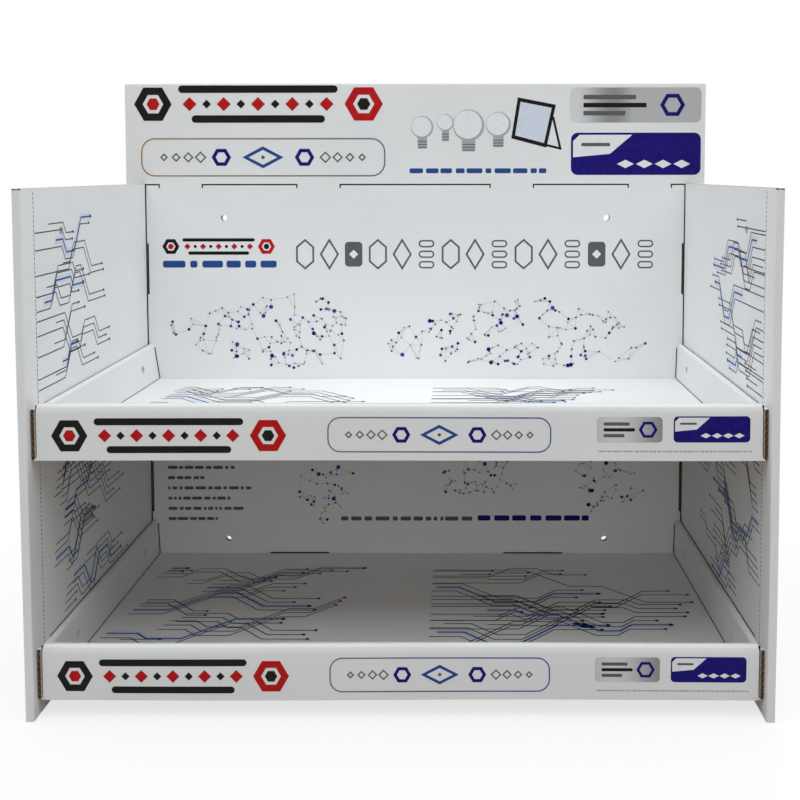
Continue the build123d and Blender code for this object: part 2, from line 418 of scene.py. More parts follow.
def back_bow(points: Array) -> Array:
    """Back and header stand forward by a slow wave, more above the sides where nothing holds the board.

    The shift in -y is 0.3 + 0.3 sin(x/83) cos(z/57) mm, plus 0.45 (1 + cos(x/118)) mm faded in from
    z 424 to 500, and all of it is faded in from y 112 to 137.
    """
    x, y, z = points.T
    faded = smooth_step(y, 112.0, 137.0)
    free = smooth_step(z, 424.0, 500.0)
    wave = 0.3 + 0.3 * np.sin(x / 83.0) * np.cos(z / 57.0) + free * 0.45 * (1.0 + np.cos(x / 118.0))
    return coordinates(0.0, -faded * wave, 0.0)


def lip_bow(points: Array) -> Array:
    """Lips bow back and rise and fall a little along their length.

    The shift in +y is 0.35 (1 + sin(x/74 + z/40)) mm and in z it is 0.35 sin(x/96 + z/90) mm, both
    faded in from y -126 to -140 and faded out at the lip's ends.
    """
    x, y, z = points.T
    faded = smooth_step(-y, 126.0, 140.0) * (1.0 - smooth_step(np.abs(x), 262.0, 286.0))
    back = faded * 0.35 * (1.0 + np.sin(x / 74.0 + z / 40.0))
    return coordinates(0.0, back, faded * 0.35 * np.sin(x / 96.0 + z / 90.0))


def bent(points: Array) -> Array:
    """Every point of board or print, moved by the three bows together."""
    return points + side_bow(points) + back_bow(points) + lip_bow(points)


# ---- meshes

@contextmanager
def edited(mesh: bpy.types.Mesh) -> Iterator[Any]:
    """Lends a mesh out for editing, then writes it back."""
    work = bmesh.new()
    work.from_mesh(mesh)
    yield work
    work.to_mesh(mesh)
    work.free()


def cut_on_grid(mesh: bpy.types.Mesh, extra: Sequence[tuple[int, float]] = ()) -> None:
    """Cuts a mesh along planes a grid step apart on each axis, at the same places for every piece.

    Args:
        mesh: mesh in metres.
        extra: more planes, each an axis number and a place in millimetres.
    """
    with edited(mesh) as work:
        points = np.array([v.co for v in work.verts]) / MM
        low, high = points.min(0), points.max(0)
        planes = list(extra)
        for axis in range(3):
            places = np.arange(math.ceil(low[axis] / GRID) * GRID, high[axis], GRID)
            planes += [(axis, float(at)) for at in places if min(at - low[axis], high[axis] - at) > 0.2]
        for axis, place in planes:
            normal = [float(axis == number) for number in range(3)]
            origin = [place * MM * part for part in normal]
            parts = work.verts[:] + work.edges[:] + work.faces[:]
            bmesh.ops.bisect_plane(work, geom=parts, plane_co=origin, plane_no=normal, dist=1e-7)


def read_points(mesh: bpy.types.Mesh) -> Array:
    """The mesh's vertices in millimetres."""
    flat = np.empty(len(mesh.vertices) * 3)
    mesh.vertices.foreach_get("co", flat)
    return flat.reshape(-1, 3) / MM


def write_points(mesh: bpy.types.Mesh, points: Array) -> None:
    """Puts vertices given in millimetres back into the mesh."""
    mesh.vertices.foreach_set("co", (points * MM).ravel())
    mesh.update()


def faces_of(mesh: bpy.types.Mesh) -> tuple[Array, Array]:
    """Centre in millimetres and normal of every face."""
    centre, normal = np.empty((2, len(mesh.polygons) * 3))
    mesh.polygons.foreach_get("center", centre)
    mesh.polygons.foreach_get("normal", normal)
    return centre.reshape(-1, 3) / MM, normal.reshape(-1, 3)


def joined(shapes: Sequence[Shape]) -> Shape:
    """Puts shapes together, with the faces of each renumbered by the points before it."""
    starts = np.cumsum([0] + [len(shape[0]) for shape in shapes[:-1]])
    moved = [(shape[0], shape[1] + start, *shape[2:]) for shape, start in zip(shapes, starts)]
    return tuple(np.concatenate(column) for column in zip(*moved))


def bent_mesh(name: str, points: Array, faces: Array) -> bpy.types.Mesh:
    """A mesh of points in millimetres, bent as the board is."""
    mesh = bpy.data.meshes.new(name)
    mesh.from_pydata((bent(points) * MM).tolist(), [], faces.tolist())
    mesh.update()
    return mesh


def add_piece(
    name: str, mesh: bpy.types.Mesh, materials: Sequence[bpy.types.Material],
) -> bpy.types.Object:
    """Puts a mesh into the scene as a piece of the stand.

    Args:
        name: the piece's name.
        mesh: its mesh, in place.
        materials: its materials in slot order.

    Returns:
        The new object.
    """
    piece = bpy.data.objects.new(name, mesh)
    bpy.context.scene.collection.objects.link(piece)
    for material in materials:
        mesh.materials.append(material)
    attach(piece, BODY)
    LOG.info("%s: %d faces", name, len(mesh.polygons))
    return piece


# ---- folded sheets

class Skin(IntEnum):
    """Material slots of a board sheet."""

    COATED = 0
    RAW = 1
    REVERSE = 2
    HOLLOW_SHADE = 3       # painted shade: near-black finish for the unlit core of a cut edge


@dataclass
class BoardSheet:
    """One folded sheet of board, copied from its CAD node, cut so that it can bend, and dressed."""

    node: str
    slot: str
    classify: Callable[[Array, Array], Array]
    settle: Callable[[Array], Array]
    flute_axis: int
    extra_cuts: tuple[tuple[int, float], ...] = ()

    def build(self, finishes: Sequence[bpy.types.Material]) -> None:
        """Makes the piece that stands for the node.

        Args:
            finishes: materials in Skin order.
        """
        name = self.node + "_board"
        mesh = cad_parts[self.node].data.copy()
        mesh.materials.clear()
        with edited(mesh) as work:
            bmesh.ops.remove_doubles(work, verts=work.verts[:], dist=1e-6)
        cut_on_grid(mesh, self.extra_cuts)
        skins = self.classify(*faces_of(mesh)).astype(np.int32)
        mesh.polygons.foreach_set("material_index", skins)
        mesh.polygons.foreach_set("use_smooth", np.ones(len(skins), bool))
        points = read_points(mesh)
        write_points(mesh, bent(points + self.settle(points)))
        mesh.set_sharp_from_angle(angle=math.radians(CREASE))
        if "custom_normal" in mesh.attributes:
            mesh.attributes.remove(mesh.attributes["custom_normal"])
        mesh.name = name
        piece = add_piece(name, mesh, finishes)
        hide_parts(self.node)


def edge_on(normal: Array, axis: int) -> Array:
    """Which faces stand more across an axis than along it."""
    return np.abs(normal[:, axis]) < 0.5


def square_to(normal: Array, axis: int) -> Array:
    """Which faces look along an axis, either way."""
    return np.abs(normal[:, axis]) > 0.9


def hole_walls(centre: Array, normal: Array) -> Array:
    """Picks the walls of the hanging holes in the back and of round holes in the inner sides."""
    x, y, z = np.abs(centre[:, 0]), centre[:, 1], centre[:, 2]
    hanging, pegs = (near(z, low, HOLE_REACH) | near(z, high, HOLE_REACH) for low, high in (HANGING_Z, PEG_Z))
    back = hanging & near(x, HANGING_X, HOLE_REACH) & (y > 139.0) & edge_on(normal, 1)
    side = pegs & near(y, PEG_Y, HOLE_REACH) & (x > 292.0) & edge_on(normal, 0)
    return back | side


def wrap_skins(centre: Array, normal: Array) -> Array:
    """Skins of the body wrap.

    Top and bottom edges are hollow, near-black as painted shade, cuts through the board are raw, hole
    walls are coated, and the rear wall's inside is reverse.
    """
    x, y = np.abs(centre[:, 0]), centre[:, 1]
    skins = np.full(len(x), int(Skin.COATED))
    skins[square_to(normal, 2)] = Skin.HOLLOW_SHADE
    off_score = ~near(y, FOLD, 0.6) & (y < 145.9)
    in_side = between(x, 293.05, 295.95) & (y > -147.0) & edge_on(normal, 0) & off_score
    in_rear = between(y, 146.05, 148.95) & (x < 290.0) & edge_on(normal, 1)
    skins[in_side | in_rear] = Skin.RAW
    skins[hole_walls(centre, normal)] = Skin.COATED
    skins[near(y, 146.0, 0.05) & (normal[:, 1] < -0.9)] = Skin.REVERSE
    return skins


def panel_skins(centre: Array, normal: Array) -> Array:
    """Skins of the back panel.

    Cuts through the board are raw, hole walls are coated, the header's ends and the slits under it are
    hollow, near-black as painted shade, and what lies between the leaves is reverse.
    """
    x, y, z = np.abs(centre[:, 0]), centre[:, 1], centre[:, 2]
    skins = np.full(len(x), int(Skin.COATED))
    in_leaf = between(y, 139.45, 142.35) | between(y, 142.75, 145.65)
    skins[in_leaf & edge_on(normal, 1) & (z < 532.0)] = Skin.RAW
    skins[hole_walls(centre, normal)] = Skin.COATED
    skins[square_to(normal, 0) & (x > 313.0)] = Skin.HOLLOW_SHADE
    skins[near(z, 425.4, 0.55) & (x < 297.0) & edge_on(normal, 1)] = Skin.HOLLOW_SHADE
    skins[between(y, 142.3, 142.8) & square_to(normal, 1)] = Skin.REVERSE
    return skins


def tray_skins(level: float) -> Callable[[Array, Array], Array]:
    """Skins of a tray at one level.

    Args:
        level: height of the tray's underside.

    Returns:
        The function that classifies its faces.
    """
    def classify(centre: Array, normal: Array) -> Array:
        """Cuts are raw, hole walls coated, the walls' front ends hollow in painted shade, and the underside
        reverse.
        """
        x, y, z = np.abs(centre[:, 0]), centre[:, 1], centre[:, 2] - level
        skins = np.full(len(x), int(Skin.COATED))
        floor_edge = between(z, 0.05, 2.95) & (x < 291.0) & (y > -140.0) & edge_on(normal, 2)
        tabs = ((y > 139.15) | (x > 292.75)) & edge_on(normal, 2)
        ends = square_to(normal, 1) & (z > 0.0) & ((y > 138.9) | ((x > WALL_END) & (y < -134.0)))
        lip_ends = near(x, LIP_HALF, 0.1) & (y < -135.6) & (z > 37.0)
        skins[floor_edge | tabs | ends | lip_ends] = Skin.RAW
        holes = near(z, 21.5, 3.9) & between(x, 286.0, 292.6) & between(y, -100.0, 138.0)
        skins[holes & (np.abs(normal[:, 0]) < 0.6)] = Skin.COATED
        skins[(x > WALL_END) & (y < LIP_FACE + 0.1) & (normal[:, 1] < -0.9)] = Skin.HOLLOW_SHADE
        skins[between(y, -139.1, -138.6) & square_to(normal, 1) & (x < LIP_HALF)] = Skin.REVERSE
        skins[(np.abs(z) < 0.05) & (normal[:, 2] < -0.9)] = Skin.REVERSE
        return skins
    return classify


def settle_wrap(points: Array) -> Array:
    """Top edges drop by the flutes' depth, and the inner sides' rear edges draw forward 0.7 mm."""
    y = points[:, 1]
    inner = between(np.abs(points[:, 0]), 292.0, 296.3)
    forward = np.where(inner, -0.7 * smooth_step(y, 96.0, 138.0), 0.0)
    return coordinates(0.0, forward, np.where(points[:, 2] > BODY_TOP - 0.05, -RAW_DEPTH, 0.0))


def settle_panel(points: Array) -> Array:
    """The header's two ends draw in by the flutes' depth."""
    x = points[:, 0]
    return coordinates(np.where(np.abs(x) > HEADER_HALF - 0.05, -np.sign(x) * RAW_DEPTH, 0.0), 0.0, 0.0)


def settle_tray(level: float, lean_left: float, lean_right: float) -> Callable[[Array], Array]:
    """Wall leaves that lean in towards the rear, a rolled lip, and raw ends that show their flutes.

    Args:
        level: height of the tray's underside.
        lean_left: how far the left inner leaf's foot stands in at the rear.
        lean_right: the same on the right.

    Returns:
        The function that gives each point's shift.
    """
    def settle(points: Array) -> Array:
        """The foot's shift grows with depth and falls to nought at the wall's top.

        The lip's front rolls back by 1.15 t^2 mm, t from nought to one over 6.5 mm of height, and its
        ends draw in by 0.5 + 0.9 t^2 mm, as crushed board does.
        """
        x, y, z = points[:, 0], points[:, 1], points[:, 2] - level
        out = np.abs(x)
        leaf = between(out, 286.2, 289.55) & between(z, 3.2, 40.0) & (y > -135.0)
        depth = smooth_step(y, -60.0, 139.0) * (1.0 - np.clip((z - LEAF_FOOT) / LEAF_FALL, 0.0, 1.0))
        lean = np.where(x < 0, lean_left, -lean_right)
        lip_end = between(out, LIP_HALF - 0.1, 289.2) & (y < -135.6)
        crushed = 0.5 + 0.9 * np.clip((z - 39.0) / 6.5, 0.0, 1.0) ** 2
        inwards = np.where(leaf, lean * depth, 0.0) + np.where(lip_end, -np.sign(x) * crushed, 0.0)
        wall_end = (out > WALL_END) & (y < LIP_FACE + 0.1) & (z > 0.0)
        lip_front = (out < LIP_HALF + 0.1) & (y < LIP_FACE + 2.4) & (z > 36.0)
        roll = np.clip((z - 37.5) / 6.5, 0.0, 1.0) ** 2
        back = np.where(wall_end, RAW_DEPTH, 0.0) + np.where(lip_front, 1.15 * roll, 0.0)
        return coordinates(inwards, back, 0.0)
    return settle


# ---- raw edges

@dataclass
class RawEdge:
    """One cut edge of corrugated board: two liners and the fluted medium, stood up from the recessed core."""

    start: Sequence[float]     # middle of the board at one end of the edge, at full size
    end: Sequence[float]
    thick: Sequence[float]     # unit direction through the board
    outward: Sequence[float]   # unit direction out of the cut
    pitch: float = 6.0
    liner: float = 0.5
    medium: float = 0.55

    def strips(self) -> list[tuple[Array, float]]:
        """Centre lines through the board's thickness and their widths.

        The liners run at plus and minus (thickness - liner) / 2. The medium runs at
        (thickness - 2 liner - medium) / 2 times sin(2 pi s / pitch), s along the edge.

        Returns:
            Pairs of an (n, 2) array of along and through places, and a width.
        """
        length = float(np.linalg.norm(np.subtract(self.end, self.start)))
        along = np.linspace(0.0, length, max(2, int(length / self.pitch * 8)) + 1)
        reach = (BOARD - 2 * self.liner - self.medium) / 2
        wave = reach * np.sin(2 * math.pi * along / self.pitch)
        coarse = np.linspace(0.0, length, max(2, int(length / GRID)) + 1)
        side = (BOARD - self.liner) / 2
        lines = [(np.stack([along, wave], 1), self.medium)]
        for sign in (-1.0, 1.0):
            lines.append((np.stack([coarse, np.full_like(coarse, sign * side)], 1), self.liner))
        return lines

    def shape(self) -> Shape:
        """Points, quads and skins of the whole edge.

        Each strip is a rectangular bar carried along its line: four corners at plus and minus half its
        width, at the flutes' foot and at the full size.

        Returns:
            Points in millimetres, quads, and the skin of each quad.
        """
        origin = np.array(self.start, float)
        run = np.subtract(self.end, self.start).astype(float)
        run /= np.linalg.norm(run)
        thick, out = np.array(self.thick, float), np.array(self.outward, float)
        bars = []
        for line, width in self.strips():
            tangent = np.gradient(line, axis=0)
            tangent /= np.linalg.norm(tangent, axis=1, keepdims=True)
            across = np.stack([-tangent[:, 1], tangent[:, 0]], 1) * width / 2
            rings = []
            for sign, depth in ((-1, -FLUTE_FOOT), (1, -FLUTE_FOOT), (1, 0.0), (-1, 0.0)):
                flat = line + sign * across
                rings.append(origin + flat[:, :1] * run + flat[:, 1:] * thick + depth * out)
            first = np.arange(len(line) - 1)[:, None] * 4
            last = len(first) * 4
            quads, skins = [], []
            for a, b in ((0, 1), (1, 2), (2, 3), (3, 0)):
                quads.append(np.concatenate([first + a, first + b, first + 4 + b, first + 4 + a], 1))
                coated = width == self.liner and (a, b) in ((1, 2), (3, 0))
                outer = coated and ((line[0, 1] > 0) == ((a, b) == (1, 2)))
                skins.append(np.full(len(first), int(Skin.COATED if outer else Skin.RAW)))
            quads.append(np.array([[3, 2, 1, 0], [last, last + 1, last + 2, last + 3]]))
            skins.append(np.full(2, int(Skin.RAW)))
            bars.append((np.stack(rings, 1).reshape(-1, 3), np.concatenate(quads), np.concatenate(skins)))
        return joined(bars)


@dataclass
class RawEdges:
    """A group of raw edges that makes one piece."""

    name: str
    slot: str
    edges: list[RawEdge]

    def build(self, coated: bpy.types.Material, raw: bpy.types.Material) -> None:
        """Makes the piece.

        Args:
            coated: finish of the liner's outer face.
            raw: finish of the cut paper.
        """
        points, quads, skins = joined([edge.shape() for edge in self.edges])
        mesh = bent_mesh(self.name, points, quads)
        with edited(mesh) as work:
            bmesh.ops.recalc_face_normals(work, faces=work.faces[:])
        mesh.polygons.foreach_set("material_index", skins.astype(np.int32))
        mesh.update()
        add_piece(self.name, mesh, (coated, raw))


def raw_edges() -> list[RawEdges]:
    """Top edges of the sides and the rear wall, the header's two ends, and each tray's wall ends."""
    tops, ends = [], []
    for sign in (-1.0, 1.0):
        for middle, stop in ((298.5, 147.6), (294.5, 138.3)):
            x = sign * middle
            tops.append(RawEdge((x, FRONT + 1.6, BODY_TOP), (x, stop, BODY_TOP), (1, 0, 0), (0, 0, 1)))
        for middle in (140.9, 144.2):
            low = (sign * HEADER_HALF, middle, BODY_TOP + 0.4)
            high = (sign * HEADER_HALF, middle, HEADER_TOP - 2.8)
            ends.append(RawEdge(low, high, (0, 1, 0), (sign, 0, 0)))
    tops.append(RawEdge((-298.4, 147.5, BODY_TOP), (298.4, 147.5, BODY_TOP), (0, 1, 0), (0, 0, 1)))
    groups = [
        RawEdges("side_top_flutes", "white_board", tops),
        RawEdges("header_end_flutes", "printed_board", ends),
    ]
    for node, level in TRAYS.items():
        walls = []
        for x in (BOARD / 2 - TRAY_HALF, TRAY_HALF - BOARD / 2):
            low, high = (x, LIP_FACE, level + 1.6), (x, LIP_FACE, level + WALL_HEIGHT)
            walls.append(RawEdge(low, high, (1, 0, 0), (0, -1, 0), 5.6, 0.42, 0.40))
        groups.append(RawEdges(node + "_end_flutes", "white_board", walls))
    return groups


# ---- perforated folds and narrow joints

@dataclass
class PerforatedFold:
    """Short cuts in the groove of each inner side, a fixed pitch apart, drawn as strips of near-black painted
    shade.
    """

    dash: float = 2.1
    pitch: float = 3.75
    width: float = 0.9
    depth: float = -0.06

    def build(self, ink: bpy.types.Material) -> None:
        """Makes both rows as one piece.

        Each cut is a flat strip, the groove's width in y and four fifths of the dash in z, at z = n pitch.
        It has six corners, two of them along its sides.

        Args:
            ink: the near-black finish of the cuts, painted shade.
        """
        starts = np.arange(1.2, BODY_TOP - 4.0, self.pitch)
        strip = np.array([(-0.5, 0), (-0.5, 0.2), (-0.5, 0.8), (0.5, 0.8), (0.5, 0.2), (0.5, 0)])
        corners = strip * (self.width, self.dash)
        y = np.tile(FOLD + corners[:, 0], len(starts))
        z = (starts[:, None] + corners[None, :, 1]).ravel()
        first = np.arange(len(starts))[:, None] * len(strip)
        order = np.arange(len(strip))
        rows = []
        for sign, turned in ((-1.0, order[::-1]), (1.0, order)):
            rows.append((coordinates(sign * (SIDE_FACE + self.depth), y, z), first + turned))
        # The strips are painted shade: the dark seen inside each cut.
        add_piece("perforated_folds", bent_mesh("perforated_folds", *joined(rows)), (ink,))


@dataclass
class DeepGaps:
    """Painted shade for the unlit bottoms of narrow joints and cuts: near-black strips in or just over the
    board.
    """

    slit_runs: tuple[Span, ...] = (
        (-82.0, 82.0), (127.5, 231.5), (-231.5, -127.5), (277.0, 297.0), (-297.0, -277.0),
    )
    rear_slots: tuple[Span, ...] = ((-161.5, -96.5), (96.5, 161.5))
    run_step: float = 20.0                   # about the length of one quad
    slit_height: float = 1.5
    hook: float = 3.0
    wall_gap: float = 1.0
    in_front: float = PANEL_FACE - 0.06      # where a painted shade strip lies just over the panel's face

    def boxes(self) -> list[tuple[float, float, float, float, float]]:
        """Upright rectangles of painted shade that face forwards.

        They stand at side against panel, lip end against wall, the lower tray's rear slots, and the
        header's slits with their hooked ends.

        Returns:
            Left, right, place in y, bottom and top of each.
        """
        made = [(left, left + 2.7, self.in_front, 0.6, 424.6) for left in (-294.6, 291.9)]
        for level in TRAYS.values():
            for left, right in ((-289.9, -287.6), (287.6, 289.9)):
                made.append((left, right, -139.4, level + 2.4, level + LIP_HEIGHT - 1.6))
        floor = TRAYS["lower_tray"] + BOARD
        made += [(left, right, PANEL_FACE - 0.3, floor + 0.2, floor + 1.5) for left, right in self.rear_slots]
        foot = BODY_TOP - self.slit_height
        for low, high in self.slit_runs:
            made.append((low, high, self.in_front, foot, BODY_TOP))
            for end, inward in ((low, self.slit_height), (high, -self.slit_height)):
                if abs(end) < 290.0:
                    made.append((*sorted((end, end + inward)), self.in_front, foot - self.hook, foot))
        return made

    def upright(self) -> list[tuple[Array, Array]]:
        """Painted shade strips that face forwards: the boxes, and each inner leaf's rear end against the
        panel.

        Returns:
            Pairs of an (n, 3) line along the left edge and one along the right.
        """
        strips = []
        for left, right, y, low, high in self.boxes():
            tall = high - low > right - left
            start, stop = (low, high) if tall else (left, right)
            run = np.linspace(start, stop, max(2, int((stop - start) / self.run_step)) + 1)
            if tall:
                strips.append((coordinates(left, y, run), coordinates(right, y, run)))
            else:
                strips.append((coordinates(run, y, high), coordinates(run, y, low)))
        rise = np.linspace(LEAF_FOOT, 37.0, 3)
        for node, level in TRAYS.items():
            for sign, lean in zip((-1.0, 1.0), LEANS[node]):
                face = LEAF_FACE - lean * (1.0 - (rise - LEAF_FOOT) / LEAF_FALL)
                edges = (face, face - self.wall_gap)[::-int(sign)]
                strips.append(tuple(coordinates(sign * x, PANEL_FACE - 0.2, level + rise) for x in edges))
        return strips

    def level_strips(self) -> list[tuple[Array, Array]]:
        """Painted shade strips that face up: the inner leaf's foot on the floor, and tray wall against side.

        Returns:
            Pairs of an (n, 3) line along the left edge and one along the right.
        """
        y = np.linspace(-117.0, 138.5, 14)
        strips = []
        for node, level in TRAYS.items():
            for sign in (-1.0, 1.0):
                foot = coordinates(sign * LEAF_FACE, y, level + LEAF_FOOT)
                moved = (foot + settle_tray(level, *LEANS[node])(foot))[:, 0]
                for near_x, far_x, height in (
                    (moved - sign * 0.75, moved + sign * 0.2, 3.08),
                    (sign * 291.9, sign * 293.1, 40.15),
                ):
                    edges = (near_x, far_x)[:: int(sign)]
                    strips.append(tuple(coordinates(x, y, level + height) for x in edges))
        return strips

    def build(self, shade: bpy.types.Material) -> None:
        """Makes all strips as one piece: each is the ladder of quads between its two edge lines.

        Args:
            shade: the near-black finish of the painted shade.
        """
        ladders = []
        for left, right in self.upright() + self.level_strips():
            count = len(left)
            first = np.arange(count - 1)
            quads = np.stack([first, first + count, first + count + 1, first + 1], 1)
            ladders.append((np.concatenate([left, right]), quads))
        add_piece("deep_gap_painted_shade", bent_mesh("deep_gap_painted_shade", *joined(ladders)), (shade,))


# ---- print

class Face(Enum):
    """The board face that a print lies on: the axes of u, of v and out of the board, and which way is out."""

    FRONT = (0, 2, 1, -1.0)
    LEFT = (1, 2, 0, 1.0)
    RIGHT = (1, 2, 0, -1.0)
    FLOOR = (0, 1, 2, 1.0)


@dataclass
class PrintSheet:
    """Flat shapes gathered in the plane of one board face, each with its ink and its place in the order."""

    name: str
    face: Face
    place: float      # the board face's coordinate, in millimetres
    slot: str
    points: list[Array] = field(default_factory=list)
    faces: list[list[int]] = field(default_factory=list)
    tones: list[int] = field(default_factory=list)
    count: int = 0

    def _add(self, flat: Array, faces: Array, tone: Tone, layer: int) -> None:
        """Keeps one shape's corners and faces."""
        lift = np.full((len(flat), 1), INK_LIFT + layer * INK_STEP)
        self.points.append(np.concatenate([flat, lift], 1))
        self.faces += (faces + self.count).tolist()
        self.tones += [int(tone)] * len(faces)
        self.count += len(flat)

    def plate(self, outline: Array, tone: Tone, layer: int = 0) -> None:
        """A filled convex outline, given anticlockwise."""
        self._add(outline, np.arange(len(outline))[None], tone, layer)

    def disc(self, u: float, v: float, radius: float, tone: Tone, layer: int = 0, sides: int = 20) -> None:
        """A filled circle of so many sides."""
        self.plate(regular(u, v, radius, sides), tone, layer)

    def box(
        self, u0: float, v0: float, u1: float, v1: float, radius: float, tone: Tone, layer: int = 0,
    ) -> None:
        """A filled rectangle with round corners."""
        self.plate(rounded(u0, v0, u1, v1, radius), tone, layer)

    def line(self, points: Array, width: float, tone: Tone, layer: int = 0, closed: bool = False) -> None:
        """A strip of even width along points, its joints mitred.

        Each joint's two corners lie along the sum of the neighbouring sides' normals, at half the width
        over the cosine of half the turn.

        Args:
            points: (n, 2) array.
            width: width of the strip.
            tone: its ink.
            layer: its place in the order.
            closed: whether the last point joins the first.
        """
        points = np.asarray(points, float)
        if closed:
            sides = np.diff(np.concatenate([points[-1:], points, points[:1]]), axis=0)
        else:
            sides = np.diff(points, axis=0)
            sides = np.concatenate([sides[:1], sides, sides[-1:]])
        sides /= np.linalg.norm(sides, axis=1, keepdims=True)
        normals = np.stack([-sides[:, 1], sides[:, 0]], 1)
        joint = normals[:-1] + normals[1:]
        joint /= np.linalg.norm(joint, axis=1, keepdims=True)
        reach = width / 2 / np.clip((joint * normals[1:]).sum(1), 0.5, 1.0)
        left, right = points + joint * reach[:, None], points - joint * reach[:, None]
        count = len(points)
        first = np.arange(count if closed else count - 1)
        after = (first + 1) % count
        quads = np.stack([first + count, after + count, after, first], 1)
        self._add(np.concatenate([left, right]), quads, tone, layer)

    def frame(
        self, u0: float, v0: float, u1: float, v1: float, radius: float, width: float, tone: Tone,
    ) -> None:
        """A rectangle with round corners, drawn as a closed strip inside its limits."""
        half = width / 2
        self.line(rounded(u0 + half, v0 + half, u1 - half, v1 - half, radius - half), width, tone, 0, True)

    def bars(self, u0: float, v0: float, u1: float, height: float, tone: Tone, seed: int) -> None:
        """A row of short rounded bars of uneven length, that fills a line."""
        rng = np.random.default_rng(seed)
        u = u0
        while u < u1 - height:
            length = min(height * rng.uniform(0.7, 3.4), u1 - u)
            self.box(u, v0, u + length, v0 + height, height * 0.3, tone)
            u += length + height * rng.uniform(0.35, 0.8)

    def build(self, inks: Sequence[bpy.types.Material]) -> None:
        """Lays the shapes on their board and makes the piece.

        Args:
            inks: materials in Tone order.
        """
        u, v, lift = np.concatenate(self.points).T
        u_axis, v_axis, out_axis, way = self.face.value
        solid = np.empty((len(u), 3))
        solid[:, u_axis] = u
        solid[:, v_axis] = v
        solid[:, out_axis] = self.place + way * lift
        faces = [face[::-1] for face in self.faces] if self.face is Face.RIGHT else self.faces
        mesh = bpy.data.meshes.new(self.name)
        mesh.from_pydata((solid * MM).tolist(), [], faces)
        used = sorted(set(self.tones))
        slots = np.array([used.index(tone) for tone in self.tones], np.int32)
        mesh.polygons.foreach_set("material_index", slots)
        cut_on_grid(mesh)
        write_points(mesh, bent(read_points(mesh)))
        add_piece(self.name, mesh, [inks[tone] for tone in used])


def regular(u: float, v: float, radius: float, sides: int, turned: float = 0.0) -> Array:
    """Corners of a regular shape, anticlockwise: the centre plus radius times (cos, sin) of equal turns."""
    turn = np.linspace(0, 2 * math.pi, sides, endpoint=False) + turned
    return np.stack([u + radius * np.cos(turn), v + radius * np.sin(turn)], 1)


def rounded(u0: float, v0: float, u1: float, v1: float, radius: float, steps: int = 6) -> Array:
    """Outline of a rectangle with round corners, anticlockwise: quarter circles joined by straight sides."""
    radius = max(0.01, min(radius, (u1 - u0) / 2 - 0.01, (v1 - v0) / 2 - 0.01))
    turn = np.linspace(0, math.pi / 2, steps + 1)
    left, right, low, high = u0 + radius, u1 - radius, v0 + radius, v1 - radius
    parts = []
    for number, (u, v) in enumerate(((right, high), (left, high), (left, low), (right, low))):
        angle = turn + number * math.pi / 2
        parts.append(np.stack([u + radius * np.cos(angle), v + radius * np.sin(angle)], 1))
    return np.concatenate(parts)


def frieze(sheet: PrintSheet, u0: float, v0: float, width: float, height: float) -> None:
    """A bold band: a hexagon at each end, and between them two long bars with a row of diamonds.

    Args:
        sheet: the print it joins.
        u0: left limit.
        v0: lower limit.
        width: width of the band.
        height: height of the band.
    """
    bold = height * 0.2
    half = height / 2
    middle = v0 + half
    for at, rim, core in ((u0 + half, Tone.BLACK, Tone.RED), (u0 + width - half, Tone.RED, Tone.BLACK)):
        sheet.line(regular(at, middle, half - bold * 0.5, 6), bold, rim, 0, True)
        sheet.plate(regular(at, middle, half * 0.36, 6), core)
    low, high = u0 + height * 1.2, u0 + width - height * 1.2
    for bottom, inset in ((v0, height * 0.35), (v0 + height - bold, 0.0)):
        sheet.box(low + inset, bottom, high - inset, bottom + bold, bold / 2, Tone.BLACK)
    for number, at in enumerate(np.linspace(low + height * 0.3, high - height * 0.3, 9)):
        size, tone = (0.12, Tone.BLACK) if number % 2 else (0.19, Tone.RED)
        sheet.plate(regular(at, middle, height * size, 4), tone)


def pill_panel(sheet: PrintSheet, u0: float, v0: float, u1: float, v1: float) -> None:
    """A gold-to-blue outline round a chain.

    A blue lozenge has a navy hexagon either side and small diamonds beyond.

    Args:
        sheet: the print it joins.
        u0: left limit.
        v0: lower limit.
        u1: right limit.
        v1: upper limit.
    """
    width, height = u1 - u0, v1 - v0
    sheet.frame(u0, v0, u1, v1, height * 0.36, max(0.9, height * 0.035), Tone.GOLD_TO_BLUE)
    centre, middle, tall = (u0 + u1) / 2, (v0 + v1) / 2, height * 0.48
    lozenge = regular(0.0, 0.0, tall * 0.5, 4) * (1.9, 1.0) + (centre, middle)
    sheet.line(lozenge, tall * 0.17, Tone.BLUE, 0, True)
    sheet.disc(centre, middle, tall * 0.1, Tone.GREY)
    for side in (-1.0, 1.0):
        hexagon = regular(centre + side * width * 0.17, middle, tall * 0.42, 6)
        sheet.line(hexagon, tall * 0.19, Tone.NAVY, 0, True)
        for number in range(4):
            at = centre + side * width * (0.255 + number * 0.05)
            diamond = regular(at, middle, tall * (0.27 - 0.035 * number), 4)
            sheet.line(diamond, tall * 0.075, Tone.GREY, 0, True)


def silver_badge(sheet: PrintSheet, u0: float, v0: float, u1: float, v1: float) -> None:
    """A silver plate with dark bars and a navy hexagon at its right."""
    width, height = u1 - u0, v1 - v0
    sheet.box(u0, v0, u1, v1, height * 0.16, Tone.SILVER)
    at, middle = u0 + width * 0.78, v0 + height * 0.5
    sheet.line(regular(at, middle, height * 0.3, 6), height * 0.11, Tone.NAVY, 1, True)
    left = u0 + width * 0.1
    for rise, tone, reach in ((0.66, Tone.GREY, 0.5), (0.43, Tone.BLACK, 0.58), (0.2, Tone.GREY, 0.42)):
        low, high = v0 + height * rise, v0 + height * (rise + 0.13)
        sheet.box(left, low, u0 + width * reach, high, 1.0, tone, 1)


